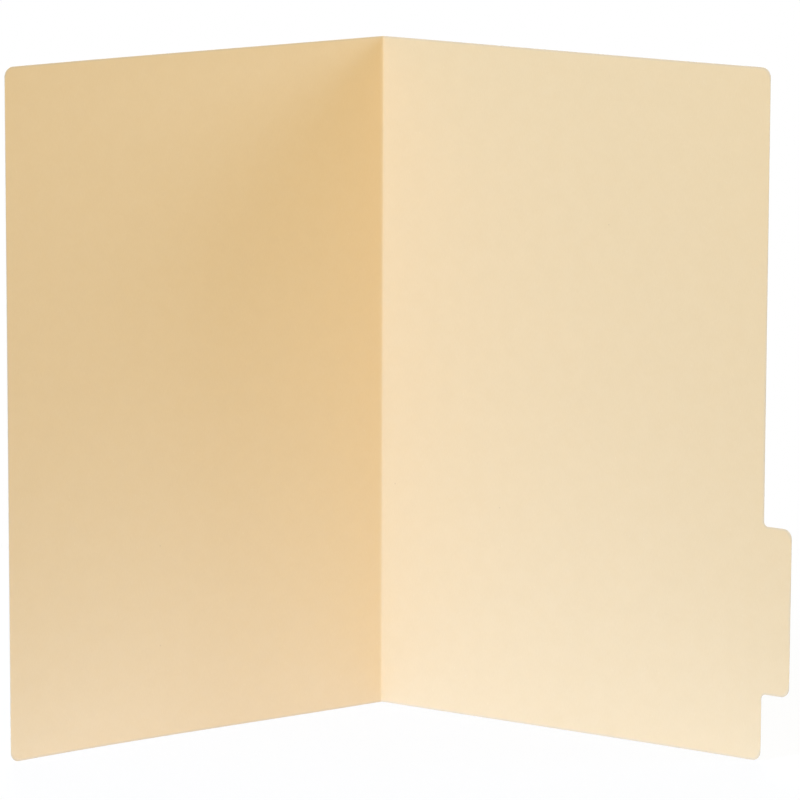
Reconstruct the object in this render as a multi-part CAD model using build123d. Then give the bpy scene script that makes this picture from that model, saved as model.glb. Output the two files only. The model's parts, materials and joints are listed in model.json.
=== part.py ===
from build123d import *
import math
import os

# Manila file folder: one die-cut sheet of card, creased once, standing open on its lower edges.
# All sizes are in millimetres and angles in degrees.
# The fold line is the Z axis and its lower end is the origin. The folder opens towards -Y:
# the front leaf lies to -X, and the back leaf, which carries the index tab, lies to +X.

# Sheet
SHEET_THICKNESS = 0.30
FOLDER_HEIGHT = 349.0

# Leaves, from the fold line to the outer edge
LEAF_WIDTH = 227.0
LEAF_CORNER_RADIUS = 4.8

# Index tab: how far it stands out, how long it is, and how high its lower edge lies
TAB_DEPTH = 16.0
TAB_LENGTH = 85.5
TAB_RISE = 34.5
TAB_CORNER_RADIUS = 4.8
TAB_ROOT_RADIUS = 2.5

# Fold: the angle between the leaves, the space between them when closed, the creased band's width,
# and the room in which the front leaf turns on the crease
OPENING_ANGLE = 111.0
CLOSED_GAP = 0.20
CREASE_BAND_WIDTH = 2.0
CREASE_CLEARANCE = 0.03

# Each sheet lies on the outer side of the closed gap. The crease is a round bead on the fold line,
# as thick as the closed folder, so its outside is flush with both leaves at any opening.
inner_face = CLOSED_GAP / 2
outer_face = inner_face + SHEET_THICKNESS
bead_radius = outer_face
seat_radius = bead_radius + CREASE_CLEARANCE

# The sheets are built flat, square to Y, and each is then turned towards -Y by this angle.
leaf_turn = (180.0 - OPENING_ANGLE) / 2


def cut_sheet(corners, radii):
    """Flat card with the given corners, as distances from the fold and heights, and their radii."""
    outline = make_face(FilletPolyline(*corners, radius=radii, close=True))
    return extrude(Plane.XZ.offset(-inner_face) * outline, amount=-SHEET_THICKNESS)


def make_front_leaf():
    """Plain leaf, whose inner edge is hollowed to turn on the bead."""
    corners = [
        (0, 0),
        (-LEAF_WIDTH, 0),
        (-LEAF_WIDTH, FOLDER_HEIGHT),
        (0, FOLDER_HEIGHT),
    ]
    radii = [0, LEAF_CORNER_RADIUS, LEAF_CORNER_RADIUS, 0]
    seat = Cylinder(seat_radius, FOLDER_HEIGHT, align=(Align.CENTER, Align.CENTER, Align.MIN))
    return Rot(0, 0, leaf_turn) * (cut_sheet(corners, radii) - seat)


def make_back_leaf():
    """Leaf with the index tab, from the edge of the creased band outwards."""
    tab_edge = LEAF_WIDTH + TAB_DEPTH
    tab_top = TAB_RISE + TAB_LENGTH
    corners = [
        (CREASE_BAND_WIDTH, 0),
        (LEAF_WIDTH, 0),
        (LEAF_WIDTH, TAB_RISE),
        (tab_edge, TAB_RISE),
        (tab_edge, tab_top),
        (LEAF_WIDTH, tab_top),
        (LEAF_WIDTH, FOLDER_HEIGHT),
        (CREASE_BAND_WIDTH, FOLDER_HEIGHT),
    ]
    radii = [
        0,
        LEAF_CORNER_RADIUS,
        TAB_ROOT_RADIUS,
        TAB_CORNER_RADIUS,
        TAB_CORNER_RADIUS,
        TAB_ROOT_RADIUS,
        LEAF_CORNER_RADIUS,
        0,
    ]
    return Rot(0, 0, -leaf_turn) * cut_sheet(corners, radii)


def make_fold_crease():
    """Creased band: a flat strip that meets the back leaf edge to edge and ends in the round bead."""
    bead_meets_strip = math.sqrt(bead_radius**2 - inner_face**2)
    strip = Polyline(
        (bead_meets_strip, inner_face),
        (CREASE_BAND_WIDTH, inner_face),
        (CREASE_BAND_WIDTH, outer_face),
        (0, outer_face),
    )
    bead = ThreePointArc((0, outer_face), (-bead_radius, 0), (bead_meets_strip, inner_face))
    return Rot(0, 0, -leaf_turn) * extrude(make_face(strip + bead), amount=FOLDER_HEIGHT)


pieces = {
    "front_leaf": make_front_leaf(),
    "back_leaf": make_back_leaf(),
    "fold_crease": make_fold_crease(),
}

os.makedirs("parts", exist_ok=True)
for name, piece in pieces.items():
    export_step(piece, f"parts/{name}.step")
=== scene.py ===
import json
import math
import bpy
import numpy as np
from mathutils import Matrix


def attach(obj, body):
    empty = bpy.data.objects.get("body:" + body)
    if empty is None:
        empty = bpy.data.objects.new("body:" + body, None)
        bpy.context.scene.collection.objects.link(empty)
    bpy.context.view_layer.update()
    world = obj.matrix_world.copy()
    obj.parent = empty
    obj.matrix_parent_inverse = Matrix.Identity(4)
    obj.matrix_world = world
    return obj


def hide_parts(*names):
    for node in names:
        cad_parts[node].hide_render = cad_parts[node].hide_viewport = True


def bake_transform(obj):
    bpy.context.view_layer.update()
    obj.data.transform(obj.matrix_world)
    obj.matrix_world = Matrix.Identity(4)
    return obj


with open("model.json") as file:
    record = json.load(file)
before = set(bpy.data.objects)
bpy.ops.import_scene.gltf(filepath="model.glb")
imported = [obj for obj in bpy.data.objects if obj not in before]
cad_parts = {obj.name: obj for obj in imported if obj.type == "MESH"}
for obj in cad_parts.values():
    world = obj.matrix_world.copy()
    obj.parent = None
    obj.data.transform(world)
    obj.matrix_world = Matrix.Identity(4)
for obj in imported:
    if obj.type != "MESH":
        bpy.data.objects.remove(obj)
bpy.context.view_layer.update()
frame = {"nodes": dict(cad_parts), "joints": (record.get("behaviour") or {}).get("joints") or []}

# Manila file folder standing open on its lower edges: one sheet of card, die-cut and creased once.
# Lengths are in metres. The fold line is the Z axis, and the folder opens towards -Y.
# A place on the sheet is a length along the card, negative on the front leaf, zero at the crease and
# positive on the back leaf, and a height above the lower edges.

MM = 0.001

# Crease: how far the crushed line and its soft shoulders reach to each side, the share of the turn that
# the crushed line takes, and the depth and half width of the groove that the scoring rule pressed outside
CRUSHED_REACH = 0.55 * MM
SHOULDER_REACH = 3.2 * MM
CRUSHED_SHARE = 0.62
SCORE_DEPTH = 0.05 * MM
SCORE_HALF_WIDTH = 0.45 * MM

# How the card has settled: the furthest that the leaves bow from flat, at the lower and the upper edge.
# The first pair bows both leaves the same way, so that they nest when the folder is closed.
# The second pair bows each of them outwards.
NESTED_BOW = (0.7 * MM, 1.3 * MM)
OUTWARD_BOW = (1.7 * MM, 0.1 * MM)

# The most that a share's square times its remainder comes to, at two thirds of the way
BOW_CURVE_PEAK = 4 / 27

# Cut edges: the roundness of the cut, and the edge turn in degrees from which shading is sharp
CUT_BULGE = 0.03 * MM
SHARP_TURN = 40

# Grid: the usual spacing, the lines that follow each cut edge, the steps around a corner and across the
# crease, the share of the crease's spacing that is even, and the steps along half of its profile
GRID_STEP = 6 * MM
EDGE_LINES = np.array([0.3, 0.8]) * MM
CORNER_STEPS = 12
CREASE_STEPS = 56
CREASE_EVEN_SHARE = 0.3
PROFILE_STEPS = 2000

# Points nearer than this lie on the same line, and steps as short as this find the sheet's slope
SAME_LINE = 0.01 * MM
SLOPE_STEP = 0.01 * MM

# Card colours, as linear red, green and blue
CARD_DEEP = (0.852, 0.664, 0.406)
CARD_PALE = (0.870, 0.686, 0.430)
FLECK_COLOUR = (0.480, 0.330, 0.190)
PALE_FIBRE_COLOUR = (0.930, 0.800, 0.600)
# Paler crease line: partly worn fibres, partly a painted highlight
WORN_AND_HIGHLIGHT_COLOUR = (0.910, 0.715, 0.450)
CUT_EDGE_COLOUR = (0.700, 0.610, 0.480)

# Card pattern: cloudy spots take a share of the tone and fibres take the rest. A share of the fibres runs
# along the grain and the rest aslant of it, each as noise stretched to so many times its width. Turns are
# in radians. The inside's pattern lies an offset further along than the outside's, so that they differ.
CLOUD_SIZE = 9 * MM
CLOUD_SHARE = 0.3
FIBRE_WIDTH = 0.45 * MM
FIBRE_HEIGHT = 0.03 * MM
FIBRE_BUMP = 0.5
GRAIN_SHARE = 0.5
GRAIN_STRETCH = 5.0
SLANT_STRETCH = 6.0
SLANT_TURN = 0.6
INSIDE_OFFSET = 1.0

# Sparse flecks and pale hairs: the spacing of a net's cells, the share of them that holds one, its size
# and how strongly it shows. A hair is stretched to so many times its width, and turned. The core is the
# share of a spot's radius that shows fully.
FLECK_SPACING = 16 * MM
FLECK_SHARE = 0.006
FLECK_RADIUS = 0.45 * MM
FLECK_STRENGTH = 0.3
HAIR_SPACING = 5 * MM
HAIR_SHARE = 0.3
HAIR_HALF_WIDTH = 0.12 * MM
HAIR_STRETCH = 6.0
HAIR_TURN = 0.9
HAIR_STRENGTH = 0.5
SPOT_CORE = 0.4

# Crease line, partly worn fibres and partly a painted highlight: how far it reaches from the crease.
# A darker, greyer band along the cut edges: how far it reaches from the cut edge, and how strongly it shows
WORN_AND_HIGHLIGHT_REACH = 2 * CRUSHED_REACH
CUT_BAND_REACH = 1.4 * MM
CUT_BAND_STRENGTH = 0.55

# Surface: the streaks of the cut, lowest and highest roughness, and shine. Noise is mostly between low
# and high, which are carried to the ends of the card's tones and roughnesses.
STREAK_SIZE = 0.15 * MM
FACE_ROUGHNESS = (0.80, 0.95)
FACE_SHINE = 0.25
CUT_ROUGHNESS = (0.88, 0.98)
CUT_SHINE = 0.2
NOISE_LOW = 0.3
NOISE_HIGH = 0.7

# Camera, fitted to the photograph's view of the folder, with angles in degrees and its lens in millimetres
CAMERA_PLACE = (-0.0524, -2.9198, 0.7028)
CAMERA_PITCH = -10.529
CAMERA_ROLL = -0.190
CAMERA_YAW = -1.170
CAMERA_LENS = 258.8

# Floor: half its side, its distance below the card, the colours that it throws back near the folder and
# further off, and the distances over which the first turns to the second
FLOOR_HALF_SIZE = 8.0
FLOOR_DROP = 0.1 * MM
FLOOR_NEAR_COLOUR = (0.68, 0.75, 0.98)
FLOOR_FAR_COLOUR = (0.25, 0.25, 0.25)
FLOOR_NEAR_REACH = 0.20
FLOOR_FAR_REACH = 0.45

# What the camera sees of the floor is white, with a matte share near the folder that shows its shadow
WHITE = (1.0, 1.0, 1.0)
SHADOW_COLOUR = (0.85, 0.88, 0.96)
SHADOW_SHARE = 0.10

# Light that the floor gives off near the folder
GLOW_COLOUR = (0.28, 0.50, 1.0)
GLOW_LEVEL = 0.45

# Even light from all around
AROUND_COLOUR = (1.0, 0.91, 0.50)
AROUND_LEVEL = 0.405

# Soft lights, all at one distance from the folder's middle: name, azimuth and elevation in degrees, side
# of the square, power in watts, and colour
LIGHT_TARGET = (0.0, -0.065, 0.17)
LIGHT_DISTANCE = 2.2
LIGHTS = [
    ("key_light", -50, 40, 0.5, 39.8, (0.48, 0.667, 1.0)),
    ("side_light", 85, 20, 0.8, 14.8, (0.49, 0.667, 1.0)),
    ("front_fill", 15, 25, 1.2, 19.2, (1.0, 0.752, 0.414)),
    ("back_light", 180, 30, 1.2, 35, (0.96, 0.98, 1.0)),
]


# Sizes read from the frame

# From rest the joint turns until the folder is closed, so its upper limit is the opening angle
joint = frame["joints"][0]
opening = math.radians(joint["range_deg"][1])
leaf_turn = (math.pi - opening) / 2
turn_cos = math.cos(leaf_turn)
turn_sin = math.sin(leaf_turn)


def measured(name, side):
    """A leaf's points as distances from the fold, distances out of the leaf's plane, and heights.

    Side is 1 for the back leaf and -1 for the front leaf.
    """
    vertices = frame["nodes"][name].data.vertices
    points = np.empty(3 * len(vertices))
    vertices.foreach_get("co", points)
    x, y, z = points.reshape(-1, 3).T
    return side * x * turn_cos - y * turn_sin, side * x * turn_sin + y * turn_cos, z


front_from_fold, _, front_z = measured("front_leaf", -1)
back_from_fold, back_off_plane, back_z = measured("back_leaf", 1)

folder_height = front_z.max()
leaf_width = front_from_fold.max()
card_thickness = back_off_plane.max() - back_off_plane.min()
card_middle = (back_off_plane.max() + back_off_plane.min()) / 2

# An edge that ends in an arc stops short of the corner by the arc's radius
corner_radius = front_z[front_from_fold > leaf_width - SAME_LINE].min()

tab_edge = back_from_fold.max()
tab_depth = tab_edge - leaf_width
on_tab = back_from_fold > leaf_width + tab_depth / 2
tab_low = back_z[on_tab].min()
tab_high = back_z[on_tab].max()
tab_corner_radius = back_z[back_from_fold > tab_edge - SAME_LINE].min() - tab_low
below_tab = (np.abs(back_from_fold - leaf_width) < SAME_LINE) & (back_z < tab_low)
tab_root_radius = tab_low - back_z[below_tab].max()


# Shape of the settled sheet

def smooth_step(value):
    """Rises from 0 at -1 to 1 at 1 as three squares less two cubes."""
    share = np.clip((value + 1) / 2, 0, 1)
    return share**2 * (3 - 2 * share)


def crease_profile():
    """Lengths along the card across the crease, with x and y of the card's middle there.

    The card's direction turns from one leaf's to the other's. The crushed line takes most of the turn and
    the soft shoulders the rest, each as a smooth step. The profile is the running sum of that direction,
    lifted so that its ends lie in the middle planes of the leaves.
    """
    length = np.linspace(-SHOULDER_REACH, SHOULDER_REACH, 2 * PROFILE_STEPS + 1)
    crushed = smooth_step(length / CRUSHED_REACH)
    shoulders = smooth_step(length / SHOULDER_REACH)
    turned = CRUSHED_SHARE * crushed + (1 - CRUSHED_SHARE) * shoulders
    direction = leaf_turn * (1 - 2 * turned)
    steps = np.diff(length)
    middle_direction = (direction[1:] + direction[:-1]) / 2
    x = np.concatenate([[0], np.cumsum(steps * np.cos(middle_direction))])
    y = np.concatenate([[0], np.cumsum(steps * np.sin(middle_direction))])
    x = x - x[PROFILE_STEPS]
    y = y + (card_middle - turn_sin * x[-1]) / turn_cos - y[-1]
    return length, x, y


crease_length, crease_x, crease_y = crease_profile()

# Where the flat of each leaf starts, as a distance from the fold, and the length of card that the crease
# takes up beside that distance
leaf_start = turn_cos * crease_x[-1] - turn_sin * crease_y[-1]
take_up = SHOULDER_REACH - leaf_start


def leaf_bow(share, z, bows):
    """Bow at a share of the way to the outer edge: the share's square times its remainder, scaled to a peak.

    The peak grows or shrinks in a straight line from the lower edge's bow to the upper edge's.
    """
    peak = bows[0] + (bows[1] - bows[0]) * z / folder_height
    return share**2 * (1 - share) / BOW_CURVE_PEAK * peak


def sheet_place(length, z):
    """Middle of the card: the crease profile, carried on straight along the leaves, plus their bow."""
    across_crease = np.clip(length, -SHOULDER_REACH, SHOULDER_REACH)
    beyond = length - across_crease
    side = np.sign(beyond)
    share = np.abs(beyond) / (leaf_width - leaf_start)
    bow = leaf_bow(share, z, OUTWARD_BOW) - side * leaf_bow(share, z, NESTED_BOW)
    x = np.interp(across_crease, crease_length, crease_x) + beyond * turn_cos + side * bow * turn_sin
    y = np.interp(across_crease, crease_length, crease_y) - np.abs(beyond) * turn_sin + bow * turn_cos
    return np.stack([x, y, z + np.zeros_like(x)], axis=-1)


def sheet_normal(length, z):
    """Outward normal: the cross product of a small step up the sheet and a small step along it."""
    up = sheet_place(length, z + SLOPE_STEP) - sheet_place(length, z - SLOPE_STEP)
    along = sheet_place(length + SLOPE_STEP, z) - sheet_place(length - SLOPE_STEP, z)
    normal = np.cross(up, along)
    return normal / np.linalg.norm(normal, axis=-1, keepdims=True)


# Grids over the sheet

def lines_between(start, end):
    """Grid lines from start to end about a grid step apart, with the lines that follow each end."""
    count = math.ceil((end - start) / GRID_STEP)
    inner = np.linspace(start, end, count + 1)[1:-1]
    return np.concatenate([[start], start + EDGE_LINES, inner, end - EDGE_LINES[::-1], [end]])


quarter_turn = np.linspace(0, math.pi / 2, CORNER_STEPS + 1)

# Heights of the rows at the outer edge, and the same as shares of the way from one corner to the other
tab_rows = lines_between(tab_low - tab_root_radius, tab_high + tab_root_radius)
rows_below_tab = lines_between(corner_radius, tab_rows[0])[:-1]
rows_above_tab = lines_between(tab_rows[-1], folder_height - corner_radius)[1:]
edge_rows = np.concatenate([rows_below_tab, tab_rows, rows_above_tab])
row_shares = (edge_rows - corner_radius) / (folder_height - 2 * corner_radius)


def leaf_grid():
    """Distances from the fold and heights over a plain leaf, as rows by columns.

    The columns close up around the outer corners. A corner lifts the lowest row, and lowers the highest,
    by its radius less the other side of the triangle that the radius makes with the way into the corner.
    """
    flat_end = leaf_width - corner_radius
    count = math.ceil((flat_end - leaf_start) / GRID_STEP)
    flat = np.linspace(leaf_start, flat_end, count + 1)[:-1]
    from_fold = np.concatenate([flat, flat_end + corner_radius * np.sin(quarter_turn)])
    into_corner = np.clip(from_fold - flat_end, 0, corner_radius)
    lift = corner_radius - np.sqrt(corner_radius**2 - into_corner**2)
    z = lift + row_shares[:, None] * (folder_height - 2 * lift)
    return np.broadcast_to(from_fold, z.shape), z


def tab_grid():
    """Distances from the fold and heights over the tab, as rows by columns, from its root to its edge.

    The root arc hollows out from the leaf's edge, the tab then runs straight, and the corner arc rounds it
    off: sine and cosine of a quarter turn times each radius.
    """
    root_out = tab_root_radius * (1 - np.cos(quarter_turn))
    root_lift = tab_root_radius * np.sin(quarter_turn)
    corner_out = tab_depth - tab_corner_radius * (1 - np.sin(quarter_turn))
    corner_lift = tab_root_radius + tab_corner_radius * (1 - np.cos(quarter_turn))
    count = math.ceil((corner_out[0] - root_out[-1]) / GRID_STEP)
    straight_out = np.linspace(root_out[-1], corner_out[0], count + 1)[1:-1]
    straight_lift = np.full_like(straight_out, tab_root_radius)
    from_fold = leaf_width + np.concatenate([root_out, straight_out, corner_out])
    lift = np.concatenate([root_lift, straight_lift, corner_lift])
    tab_span = tab_rows[-1] - tab_rows[0]
    shares = (tab_rows - tab_rows[0]) / tab_span
    z = tab_rows[0] + lift + shares[:, None] * (tab_span - 2 * lift)
    return np.broadcast_to(from_fold, z.shape), z


def grid_quads(numbers):
    """Faces between the neighbouring rows and columns of a grid of point numbers, seen from outside."""
    corners = [numbers[:-1, :-1], numbers[1:, :-1], numbers[1:, 1:], numbers[:-1, 1:]]
    return np.stack(corners, axis=-1).reshape(-1, 4)


def front_leaf_sheet():
    """Lengths, heights and faces of the front leaf: the leaf grid on the negative side of the crease."""
    from_fold, z = leaf_grid()
    numbers = np.arange(from_fold.size).reshape(from_fold.shape)
    return -(from_fold + take_up).ravel(), z.ravel(), grid_quads(numbers[:, ::-1])


def back_leaf_sheet():
    """Lengths, heights and faces of the back leaf: the leaf grid, and the tab grid sewn to its edge."""
    leaf_from_fold, leaf_z = leaf_grid()
    tab_from_fold, tab_z = tab_grid()
    leaf_numbers = np.arange(leaf_z.size).reshape(leaf_z.shape)
    tab_start = len(rows_below_tab)
    root_numbers = leaf_numbers[tab_start:tab_start + len(tab_rows), -1:]
    new_shape = (len(tab_rows), tab_z.shape[1] - 1)
    new_numbers = leaf_z.size + np.arange(new_shape[0] * new_shape[1]).reshape(new_shape)
    tab_numbers = np.concatenate([root_numbers, new_numbers], axis=1)
    from_fold = np.concatenate([leaf_from_fold.ravel(), tab_from_fold[:, 1:].ravel()])
    z = np.concatenate([leaf_z.ravel(), tab_z[:, 1:].ravel()])
    return from_fold + take_up, z, np.concatenate([grid_quads(leaf_numbers), grid_quads(tab_numbers)])


def crease_sheet():
    """Lengths, heights and faces of the crease: a grid that closes up towards the crushed line.

    The columns are spaced as a straight line plus a cube, from one shoulder's end to the other's.
    """
    spread = np.linspace(-1, 1, CREASE_STEPS + 1)
    columns = SHOULDER_REACH * (CREASE_EVEN_SHARE * spread + (1 - CREASE_EVEN_SHARE) * spread**3)
    length, z = np.meshgrid(columns, row_shares * folder_height)
    numbers = np.arange(length.size).reshape(length.shape)
    return length.ravel(), z.ravel(), grid_quads(numbers)


# Card with thickness

def free_edges(quads, count):
    """Edges that only one face uses, in the direction in which that face runs."""
    edges = np.stack([quads, np.roll(quads, -1, axis=1)], axis=-1).reshape(-1, 2)
    forward = edges[:, 0] * count + edges[:, 1]
    backward = edges[:, 1] * count + edges[:, 0]
    return edges[~np.isin(forward, backward)]


def cut_direction(cut_edges, middle, normal):
    """Direction out of the sheet at each point of a cut edge: edge crossed with normal, and averaged.

    It is zero at the other points.
    """
    start, end = cut_edges.T
    out = np.cross(middle[end] - middle[start], normal[start])
    out = out / np.linalg.norm(out, axis=1, keepdims=True)
    total = np.zeros_like(middle)
    np.add.at(total, start, out)
    np.add.at(total, end, out)
    size = np.linalg.norm(total, axis=1, keepdims=True)
    return total / np.where(size > 0, size, 1)


def nearest_cut(length, z, cut_edges):
    """Distance on the sheet from each point to the nearest point of a cut edge."""
    ends = np.unique(cut_edges)
    across = length[:, None] - length[ends]
    up = z[:, None] - z[ends]
    return np.sqrt(across**2 + up**2).min(axis=1)


def place_in_scene(name, data):
    """A new object at the origin that holds a mesh, a lamp or a camera."""
    made = bpy.data.objects.new(name, data)
    bpy.context.scene.collection.objects.link(made)
    return made


def keep_on_points(mesh, name, kind, field, values):
    """Values kept on a mesh's points under a name, for the finish to read."""
    kept = mesh.attributes.new(name, kind, "POINT")
    kept.data.foreach_set(field, values.astype(np.float32).ravel())


def card_piece(name, length, z, quads, materials):
    """A closed piece of card with its finishes, from a sheet's lengths, heights and faces.

    The sheet's middle is moved out and in by half its thickness. The score presses a groove into the
    outside and raises a ridge on the inside, as a bell curve over the crease. Between the two sides the
    rim has two more lines of points, a third of the thickness apart, that bulge out of the cut edges.
    Where the crease and a leaf join at the end of a shoulder, the edge isn't cut.
    Each point keeps its place on the sheet, its distance to the nearest cut and its distance to the crease.
    """
    count = len(length)
    edges = free_edges(quads, count)
    joins_piece = (np.abs(np.abs(length[edges]) - SHOULDER_REACH) < SAME_LINE).all(axis=1)
    cut_edges = edges[~joins_piece]
    rim = np.unique(edges)

    middle = sheet_place(length, z)
    normal = sheet_normal(length, z)
    pressed = normal * SCORE_DEPTH * np.exp(-((length / SCORE_HALF_WIDTH) ** 2))[:, None]
    bulge = CUT_BULGE * cut_direction(cut_edges, middle, normal)
    outside = middle + normal * card_thickness / 2 - pressed
    inside = middle - normal * card_thickness / 2 - pressed
    outer_rim = (middle + normal * card_thickness / 6 + bulge)[rim]
    inner_rim = (middle - normal * card_thickness / 6 + bulge)[rim]
    points = np.concatenate([outside, inside, outer_rim, inner_rim])

    on_rim = np.searchsorted(rim, edges)
    loops = [edges, 2 * count + on_rim, 2 * count + len(rim) + on_rim, count + edges]
    strips = [
        np.stack([upper[:, 1], upper[:, 0], lower[:, 0], lower[:, 1]], axis=1)
        for upper, lower in zip(loops[:-1], loops[1:])
    ]
    faces = np.concatenate([quads, count + quads[:, ::-1], *strips])
    is_cut = np.arange(len(faces)) >= 2 * len(quads)

    mesh = bpy.data.meshes.new(name)
    mesh.from_pydata(points.tolist(), [], faces.tolist(), shade_flat=False)
    mesh.set_sharp_from_angle(angle=math.radians(SHARP_TURN))
    for material in materials:
        mesh.materials.append(material)
    mesh.polygons.foreach_set("material_index", is_cut.astype(np.int32))

    on_sheet = np.concatenate([np.arange(count), np.arange(count), rim, rim])
    is_inside = np.repeat([0.0, 1.0, 0.0, 1.0], [count, count, len(rim), len(rim)])
    place = np.stack([length[on_sheet] + INSIDE_OFFSET * is_inside, z[on_sheet], is_inside], axis=1)
    cut_distance = nearest_cut(length, z, cut_edges)[on_sheet]
    keep_on_points(mesh, "sheet_place", "FLOAT_VECTOR", "vector", place)
    keep_on_points(mesh, "cut_distance", "FLOAT", "value", cut_distance)
    keep_on_points(mesh, "crease_distance", "FLOAT", "value", np.abs(length[on_sheet]))

    piece = place_in_scene(name, mesh)
    return piece


# Shader nodes

def set_inputs(tree, owner, inputs):
    """A node's inputs, by name or number. One given as a socket is linked, and any other is set."""
    for name, value in inputs.items():
        if isinstance(value, bpy.types.NodeSocket):
            tree.links.new(value, owner.inputs[name])
        else:
            owner.inputs[name].default_value = value


def node(tree, kind, inputs=None, **settings):
    """A new shader node with its settings and inputs."""
    made = tree.nodes.new(kind)
    for name, value in settings.items():
        setattr(made, name, value)
    set_inputs(tree, made, inputs or {})
    return made


def math_node(tree, operation, *values):
    """The result of a calculation with two or three numbers or sockets."""
    return node(tree, "ShaderNodeMath", dict(enumerate(values)), operation=operation).outputs[0]


def mix_values(tree, share, first, second):
    """A share of the first value and the rest of the second."""
    rest = math_node(tree, "MULTIPLY", second, 1 - share)
    return math_node(tree, "MULTIPLY_ADD", first, share, rest)


def mix_colours(tree, share, first, second):
    """First colour turning to the second by a share from 0 to 1."""
    inputs = {0: share, 6: first, 7: second}
    return node(tree, "ShaderNodeMix", inputs, data_type="RGBA").outputs[2]


def mix_shaders(tree, share, first, second):
    """First shader turning to the second by a share from 0 to 1."""
    return node(tree, "ShaderNodeMixShader", {0: share, 1: first, 2: second}).outputs[0]


def ramp(tree, value, start, end, low=0.0, high=1.0):
    """Value carried smoothly from the range start to end to the range low to high."""
    inputs = {"Value": value, "From Min": start, "From Max": end, "To Min": low, "To Max": high}
    return node(tree, "ShaderNodeMapRange", inputs, interpolation_type="SMOOTHSTEP").outputs[0]


def noise(tree, vector, size, detail, roughness=0.5):
    """Noise in two dimensions whose main spots are about a size across, from 0 to 1."""
    inputs = {"Vector": vector, "Scale": 1 / size, "Detail": detail, "Roughness": roughness}
    return node(tree, "ShaderNodeTexNoise", inputs, noise_dimensions="2D").outputs["Fac"]


def stretched(tree, vector, turn, stretch):
    """The sheet's places turned by an angle, for a pattern that is stretched along the second axis."""
    inputs = {"Vector": vector, "Rotation": (0, 0, turn), "Scale": (1, 1 / stretch, 1)}
    return node(tree, "ShaderNodeMapping", inputs).outputs[0]


def read_from_points(tree, name, output):
    """Values that the mesh's points keep under a name."""
    return node(tree, "ShaderNodeAttribute", attribute_name=name).outputs[output]


def opaque(colour):
    """The colour with full cover."""
    return (*colour, 1.0)


def new_material(name):
    """A material with its node tree and its shader."""
    material = bpy.data.materials.new(name)
    material.use_nodes = True
    tree = material.node_tree
    return material, tree, tree.nodes["Principled BSDF"]


def emptied_tree(owner):
    """The node tree of a material or a world, with no nodes in it."""
    owner.use_nodes = True
    owner.node_tree.nodes.clear()
    return owner.node_tree


def seen_directly(tree):
    """1 for a ray from the camera, a mirror or a clear pane, and 0 for the light that falls on surfaces."""
    path = node(tree, "ShaderNodeLightPath").outputs
    mirrored = math_node(tree, "MAXIMUM", path["Is Glossy Ray"], path["Is Transmission Ray"])
    return math_node(tree, "MAXIMUM", path["Is Camera Ray"], mirrored)


# Finishes

def card_fibres(tree, place):
    """Fibres of the card, along the grain and aslant of it, from 0 to 1."""
    along_grain = stretched(tree, place, 0.0, GRAIN_STRETCH)
    aslant = stretched(tree, place, SLANT_TURN, SLANT_STRETCH)
    grain = noise(tree, along_grain, FIBRE_WIDTH, detail=3.0)
    slanting = noise(tree, aslant, FIBRE_WIDTH, detail=2.0)
    return mix_values(tree, GRAIN_SHARE, grain, slanting)


def ragged_places(tree, place):
    """The sheet's places, each moved by up to a fleck's radius, so that spots have ragged outlines."""
    shake = node(tree, "ShaderNodeTexNoise", {"Vector": place, "Scale": 1 / FLECK_RADIUS}).outputs["Color"]
    inputs = {0: shake, 1: (FLECK_RADIUS, FLECK_RADIUS, 0), 2: place}
    return node(tree, "ShaderNodeVectorMath", inputs, operation="MULTIPLY_ADD").outputs[0]


def sparse_spots(tree, vector, spacing, share, radius, strength):
    """Spots of a radius and strength, one at a random place in a share of the cells of a net."""
    inputs = {"Vector": vector, "Scale": 1 / spacing}
    cells = node(tree, "ShaderNodeTexVoronoi", inputs, voronoi_dimensions="2D").outputs
    distance = math_node(tree, "MULTIPLY", cells["Distance"], spacing)
    spot = ramp(tree, distance, radius, radius * SPOT_CORE, 0.0, strength)
    chance = node(tree, "ShaderNodeSeparateColor", {"Color": cells["Color"]}).outputs[0]
    chosen = math_node(tree, "LESS_THAN", chance, share)
    return math_node(tree, "MULTIPLY", spot, chosen)


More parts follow.
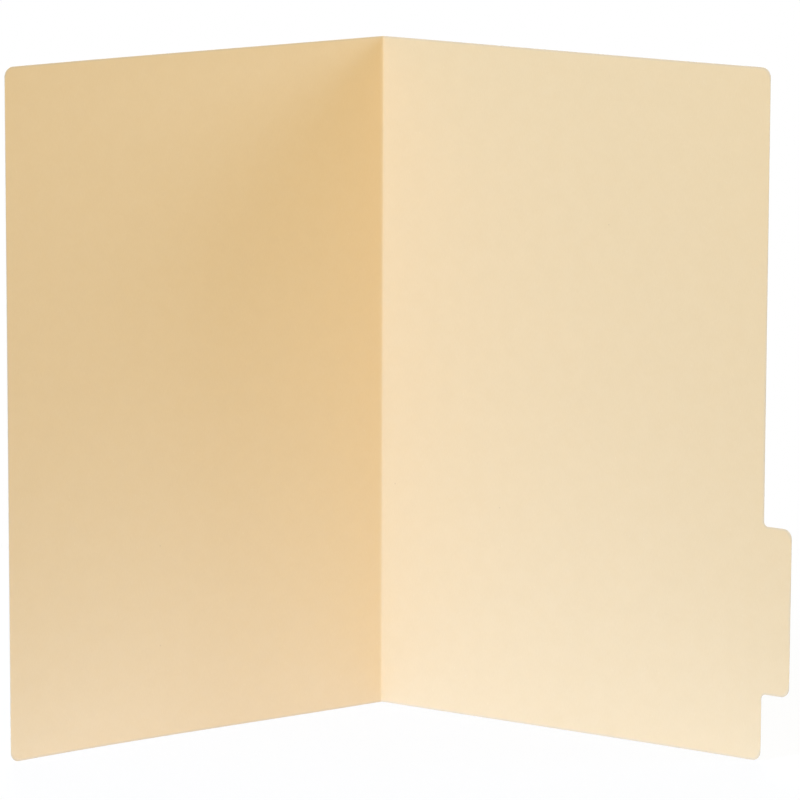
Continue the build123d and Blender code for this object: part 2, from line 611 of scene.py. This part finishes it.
def card_face_finish():
    """Buff card: pulp, fibres, flecks and hairs, a paler crease that is partly painted highlight, darker cut
    edges.
    """
    material, tree, shader = new_material("manila_card_face")
    place = read_from_points(tree, "sheet_place", "Vector")
    from_cut = read_from_points(tree, "cut_distance", "Fac")
    from_crease = read_from_points(tree, "crease_distance", "Fac")

    cloud = noise(tree, place, CLOUD_SIZE, detail=4.0, roughness=0.55)
    fibres = card_fibres(tree, place)
    tone = ramp(tree, mix_values(tree, CLOUD_SHARE, cloud, fibres), NOISE_LOW, NOISE_HIGH)
    colour = mix_colours(tree, tone, opaque(CARD_DEEP), opaque(CARD_PALE))

    ragged = ragged_places(tree, place)
    flecks = sparse_spots(tree, ragged, FLECK_SPACING, FLECK_SHARE, FLECK_RADIUS, FLECK_STRENGTH)
    colour = mix_colours(tree, flecks, colour, opaque(FLECK_COLOUR))
    along_hair = stretched(tree, ragged, HAIR_TURN, HAIR_STRETCH)
    hairs = sparse_spots(tree, along_hair, HAIR_SPACING, HAIR_SHARE, HAIR_HALF_WIDTH, HAIR_STRENGTH)
    colour = mix_colours(tree, hairs, colour, opaque(PALE_FIBRE_COLOUR))

    # Paler line along the crease: partly worn fibres, partly a painted highlight
    worn_and_highlight = math_node(tree, "MULTIPLY", ramp(tree, from_crease, WORN_AND_HIGHLIGHT_REACH, 0.0), fibres)
    colour = mix_colours(tree, worn_and_highlight, colour, opaque(WORN_AND_HIGHLIGHT_COLOUR))
    # A darker, greyer band along the cut edges
    darker_cut_band = ramp(tree, from_cut, CUT_BAND_REACH, 0.0, 0.0, CUT_BAND_STRENGTH)
    colour = mix_colours(tree, darker_cut_band, colour, opaque(CUT_EDGE_COLOUR))

    relief = {"Strength": FIBRE_BUMP, "Distance": FIBRE_HEIGHT, "Height": fibres}
    look = {
        "Base Color": colour,
        "Roughness": ramp(tree, fibres, NOISE_LOW, NOISE_HIGH, *FACE_ROUGHNESS),
        "Specular IOR Level": FACE_SHINE,
        "Normal": node(tree, "ShaderNodeBump", relief).outputs[0],
    }
    set_inputs(tree, shader, look)
    return material


def card_cut_finish():
    """Cut card: torn fibres as fine streaks, from dull to pale."""
    material, tree, shader = new_material("manila_card_cut")
    place = node(tree, "ShaderNodeTexCoord").outputs["Object"]
    inputs = {"Vector": place, "Scale": 1 / STREAK_SIZE, "Detail": 3.0}
    streaks = node(tree, "ShaderNodeTexNoise", inputs).outputs["Fac"]
    tone = ramp(tree, streaks, NOISE_LOW, NOISE_HIGH)
    look = {
        "Base Color": mix_colours(tree, tone, opaque(CUT_EDGE_COLOUR), opaque(PALE_FIBRE_COLOUR)),
        "Roughness": ramp(tree, streaks, NOISE_LOW, NOISE_HIGH, *CUT_ROUGHNESS),
        "Specular IOR Level": CUT_SHINE,
    }
    set_inputs(tree, shader, look)
    return material


# The folder

card_materials = [card_face_finish(), card_cut_finish()]

front_leaf = card_piece("front_leaf_card", *front_leaf_sheet(), card_materials)
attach(front_leaf, "front")
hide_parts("front_leaf")

back_leaf = card_piece("back_leaf_card", *back_leaf_sheet(), card_materials)
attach(back_leaf, "back")
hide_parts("back_leaf")

# The crease joins no body: its place is set into its points
fold_crease = card_piece("fold_crease_card", *crease_sheet(), card_materials)
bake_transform(fold_crease)
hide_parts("fold_crease")


# Floor, backdrop, light and camera

def white_floor_finish():
    """White to the camera, with a faint shadow near the folder, and all white further off.

    Onto the folder it throws light back and glows, as a light table does, but only near it. Further off it
    throws back little.
    """
    material = bpy.data.materials.new("white_floor")
    tree = emptied_tree(material)
    place = node(tree, "ShaderNodeTexCoord").outputs["Object"]
    distance = node(tree, "ShaderNodeVectorMath", {0: place}, operation="LENGTH").outputs["Value"]
    near = ramp(tree, distance, FLOOR_NEAR_REACH, FLOOR_FAR_REACH, 1.0, 0.0)

    colour = mix_colours(tree, near, opaque(FLOOR_FAR_COLOUR), opaque(FLOOR_NEAR_COLOUR))
    matte = node(tree, "ShaderNodeBsdfDiffuse", {"Color": colour}).outputs[0]
    glow_level = math_node(tree, "MULTIPLY", near, GLOW_LEVEL)
    glow_inputs = {"Color": opaque(GLOW_COLOUR), "Strength": glow_level}
    glow = node(tree, "ShaderNodeEmission", glow_inputs).outputs[0]
    thrown_up = node(tree, "ShaderNodeAddShader", {0: matte, 1: glow}).outputs[0]

    white = node(tree, "ShaderNodeEmission", {"Color": opaque(WHITE), "Strength": 1.0}).outputs[0]
    shadow = node(tree, "ShaderNodeBsdfDiffuse", {"Color": opaque(SHADOW_COLOUR)}).outputs[0]
    shadow_share = math_node(tree, "MULTIPLY", near, SHADOW_SHARE)
    seen = mix_shaders(tree, shadow_share, white, shadow)

    shown = mix_shaders(tree, seen_directly(tree), thrown_up, seen)
    node(tree, "ShaderNodeOutputMaterial", {"Surface": shown})
    return material


def make_floor():
    """A wide square just below the folder."""
    reach = FLOOR_HALF_SIZE
    corners = [(-reach, -reach), (reach, -reach), (reach, reach), (-reach, reach)]
    mesh = bpy.data.meshes.new("floor")
    mesh.from_pydata([(x, y, -FLOOR_DROP) for x, y in corners], [], [(0, 1, 2, 3)])
    mesh.materials.append(white_floor_finish())
    floor = place_in_scene("floor", mesh)


def make_backdrop():
    """White behind the folder, and a weaker even light from all around it."""
    world = bpy.data.worlds.new("studio")
    tree = emptied_tree(world)
    even_inputs = {"Color": opaque(AROUND_COLOUR), "Strength": AROUND_LEVEL}
    even_light = node(tree, "ShaderNodeBackground", even_inputs).outputs[0]
    white = node(tree, "ShaderNodeBackground", {"Color": opaque(WHITE), "Strength": 1.0}).outputs[0]
    shown = mix_shaders(tree, seen_directly(tree), even_light, white)
    node(tree, "ShaderNodeOutputWorld", {"Surface": shown})
    bpy.context.scene.world = world


def soft_light(name, azimuth, elevation, size, power, colour):
    """A square soft light that faces the folder's middle.

    Azimuth 0 is in front of the folder, at -Y, and turns towards +X. Angles are in degrees.
    """
    lamp = bpy.data.lights.new(name, "AREA")
    lamp.shape = "SQUARE"
    lamp.size = size
    lamp.energy = power
    lamp.color = colour
    turn = math.radians(azimuth)
    rise = math.radians(elevation)
    holder = place_in_scene(name, lamp)
    holder.location = (
        LIGHT_TARGET[0] + LIGHT_DISTANCE * math.sin(turn) * math.cos(rise),
        LIGHT_TARGET[1] - LIGHT_DISTANCE * math.cos(turn) * math.cos(rise),
        LIGHT_TARGET[2] + LIGHT_DISTANCE * math.sin(rise),
    )
    holder.rotation_euler = (math.pi / 2 - rise, 0, turn)


def make_camera():
    """The photograph's view. An unturned camera looks down, and a quarter turn lifts it to the horizon."""
    camera = place_in_scene("camera", bpy.data.cameras.new("camera"))
    camera.data.lens = CAMERA_LENS
    camera.location = CAMERA_PLACE
    camera.rotation_euler = (
        math.pi / 2 + math.radians(CAMERA_PITCH),
        math.radians(CAMERA_ROLL),
        math.radians(CAMERA_YAW),
    )
    bpy.context.scene.camera = camera


make_floor()
make_backdrop()
for light in LIGHTS:
    soft_light(*light)
make_camera()
bpy.context.scene.view_settings.view_transform = "Standard"
